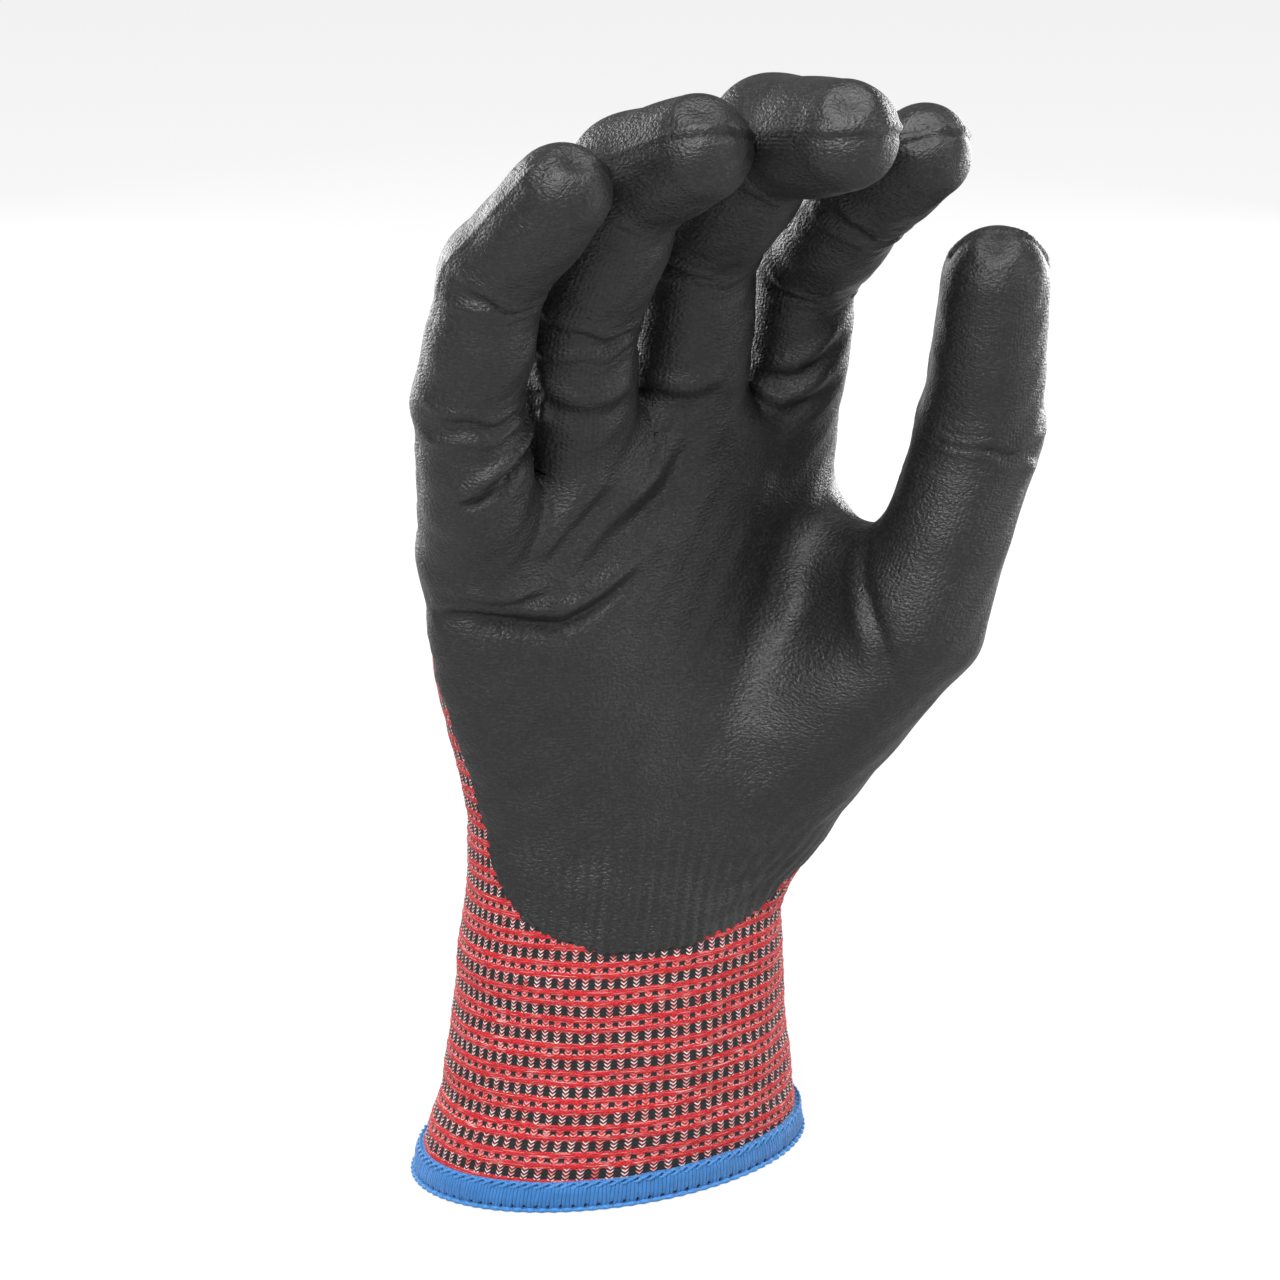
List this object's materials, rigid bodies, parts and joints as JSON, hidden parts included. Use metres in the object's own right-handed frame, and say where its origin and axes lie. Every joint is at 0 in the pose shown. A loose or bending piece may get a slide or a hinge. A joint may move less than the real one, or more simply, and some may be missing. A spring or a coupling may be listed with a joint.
{
  "type": "cut resistant glove",
  "caption": "Right-hand knitted cut resistant glove with a dipped palm, a ribbed cuff, a bound hem and finger and thumb stalls that bend.",
  "frame": {"origin": "middle of the hand opening, at the hem's lower face", "axes": "+Z from the hem to the fingers, -Y out of the palm, +X to the thumb side"},
  "size_m": [0.1215, 0.0979, 0.2242],
  "materials": {
    "knit_liner": "ribbed knit of red, black and white yarns",
    "nitrile_coating": "smooth semi-matte dip with the knit showing through",
    "binding_yarn": "bright blue overlock yarn",
    "chain_thread": "twisted blue needle thread",
    "elastic_yarn": "pale covered elastic"
  },
  "bodies": {
    "cuff": {"cuff_rib_knit": "knit_liner", "hem_binding": "binding_yarn", "hem_chain_thread": "chain_thread", "cuff_elastic_threads": "elastic_yarn", "wrist_crease": "knit_liner"},
    "hand": {"palm_knit": "knit_liner", "palm_coating": "nitrile_coating", "little_base_crease": "knit_liner", "ring_base_crease": "knit_liner", "long_base_crease": "knit_liner", "index_base_crease": "knit_liner", "thumb_base_crease": "knit_liner"},
    "little_base": {"little_base_knit": "knit_liner", "little_base_coating": "nitrile_coating", "little_middle_crease": "knit_liner"},
    "little_middle": {"little_middle_knit": "knit_liner", "little_middle_coating": "nitrile_coating", "little_tip_crease": "knit_liner"},
    "little_tip": {"little_tip_knit": "knit_liner", "little_tip_coating": "nitrile_coating"},
    "ring_base": {"ring_base_knit": "knit_liner", "ring_base_coating": "nitrile_coating", "ring_middle_crease": "knit_liner"},
    "ring_middle": {"ring_middle_knit": "knit_liner", "ring_middle_coating": "nitrile_coating", "ring_tip_crease": "knit_liner"},
    "ring_tip": {"ring_tip_knit": "knit_liner", "ring_tip_coating": "nitrile_coating"},
    "long_base": {"long_base_knit": "knit_liner", "long_base_coating": "nitrile_coating", "long_middle_crease": "knit_liner"},
    "long_middle": {"long_middle_knit": "knit_liner", "long_middle_coating": "nitrile_coating", "long_tip_crease": "knit_liner"},
    "long_tip": {"long_tip_knit": "knit_liner", "long_tip_coating": "nitrile_coating"},
    "index_base": {"index_base_knit": "knit_liner", "index_base_coating": "nitrile_coating", "index_middle_crease": "knit_liner"},
    "index_middle": {"index_middle_knit": "knit_liner", "index_middle_coating": "nitrile_coating", "index_tip_crease": "knit_liner"},
    "index_tip": {"index_tip_knit": "knit_liner", "index_tip_coating": "nitrile_coating"},
    "thumb_base": {"thumb_base_knit": "knit_liner", "thumb_base_coating": "nitrile_coating", "thumb_tip_crease": "knit_liner"},
    "thumb_tip": {"thumb_tip_knit": "knit_liner", "thumb_tip_coating": "nitrile_coating"}
  },
  "joints": [
    {"name": "wrist_bend", "type": "hinge", "parent": "cuff", "child": "hand", "pos_m": [0.0055, 0, 0.062], "axis": [1, 0, 0], "range_deg": [-50, 50], "deforming": ["wrist_crease"]},
    {"name": "little_knuckle", "type": "hinge", "parent": "hand", "child": "little_base", "pos_m": [-0.0315, -0.0105, 0.133], "axis": [0.9953, -0.015, 0.0959], "range_deg": [-18, 58], "deforming": ["little_base_crease"]},
    {"name": "little_middle_joint", "type": "hinge", "parent": "little_base", "child": "little_middle", "pos_m": [-0.03799, -0.02081, 0.16474], "axis": [0.9969, -0.0269, 0.0738], "range_deg": [-7, 70], "deforming": ["little_middle_crease"]},
    {"name": "little_tip_joint", "type": "hinge", "parent": "little_middle", "child": "little_tip", "pos_m": [-0.03705, -0.03092, 0.18976], "axis": [0.9873, 0.085, -0.1344], "range_deg": [-4.2, 42], "deforming": ["little_tip_crease"]},
    {"name": "ring_knuckle", "type": "hinge", "parent": "hand", "child": "ring_base", "pos_m": [-0.01, -0.003, 0.1395], "axis": [0.9978, -0.0135, 0.0654], "range_deg": [-22, 58], "deforming": ["ring_base_crease"]},
    {"name": "ring_middle_joint", "type": "hinge", "parent": "ring_base", "child": "ring_middle", "pos_m": [-0.01574, -0.02039, 0.1795], "axis": [1, 0.0037, -0.0079], "range_deg": [-6, 68], "deforming": ["ring_middle_crease"]},
    {"name": "ring_tip_joint", "type": "hinge", "parent": "ring_middle", "child": "ring_tip", "pos_m": [-0.01146, -0.03342, 0.20506], "axis": [0.9745, 0.162, -0.1553], "range_deg": [-3.6, 40.8], "deforming": ["ring_tip_crease"]},
    {"name": "long_knuckle", "type": "hinge", "parent": "hand", "child": "long_base", "pos_m": [0.0135, -0.002, 0.1455], "axis": [0.9994, -0.006, 0.0349], "range_deg": [-18, 56], "deforming": ["long_base_crease"]},
    {"name": "long_middle_joint", "type": "hinge", "parent": "long_base", "child": "long_middle", "pos_m": [0.01022, -0.01765, 0.1897], "axis": [0.9998, 0.0096, -0.0151], "range_deg": [-22, 62], "deforming": ["long_middle_crease"]},
    {"name": "long_tip_joint", "type": "hinge", "parent": "long_middle", "child": "long_tip", "pos_m": [0.01346, -0.03964, 0.2113], "axis": [0.9899, 0.1262, -0.0638], "range_deg": [-13.2, 37.2], "deforming": ["long_tip_crease"]},
    {"name": "index_knuckle", "type": "hinge", "parent": "hand", "child": "index_base", "pos_m": [0.0385, 0.002, 0.1425], "axis": [1, -0.0008, 0.0044], "range_deg": [-20, 42], "deforming": ["index_base_crease"]},
    {"name": "index_middle_joint", "type": "hinge", "parent": "index_base", "child": "index_middle", "pos_m": [0.03814, -0.01355, 0.18098], "axis": [0.9997, 0.0129, -0.0183], "range_deg": [-24, 50], "deforming": ["index_middle_crease"]},
    {"name": "index_tip_joint", "type": "hinge", "parent": "index_middle", "child": "index_tip", "pos_m": [0.0395, -0.03299, 0.19818], "axis": [0.9949, 0.0799, -0.0608], "range_deg": [-9.6, 20], "deforming": ["index_tip_crease"]},
    {"name": "thumb_root", "type": "hinge", "parent": "hand", "child": "thumb_base", "pos_m": [0.05256, -0.03139, 0.1107], "axis": [0.1602, 0.9539, 0.2537], "range_deg": [-6, 22], "deforming": ["thumb_base_crease"]},
    {"name": "thumb_tip_joint", "type": "hinge", "parent": "thumb_base", "child": "thumb_tip", "pos_m": [0.06132, -0.03346, 0.15018], "axis": [0.0649, 0.99, 0.125], "range_deg": [-45, 15], "deforming": ["thumb_tip_crease"]}
  ],
  "couplings": [
    {"joint": "little_tip_joint", "follows": "little_middle_joint", "ratio": 0.6},
    {"joint": "ring_tip_joint", "follows": "ring_middle_joint", "ratio": 0.6},
    {"joint": "long_tip_joint", "follows": "long_middle_joint", "ratio": 0.6},
    {"joint": "index_tip_joint", "follows": "index_middle_joint", "ratio": 0.4}
  ]
}
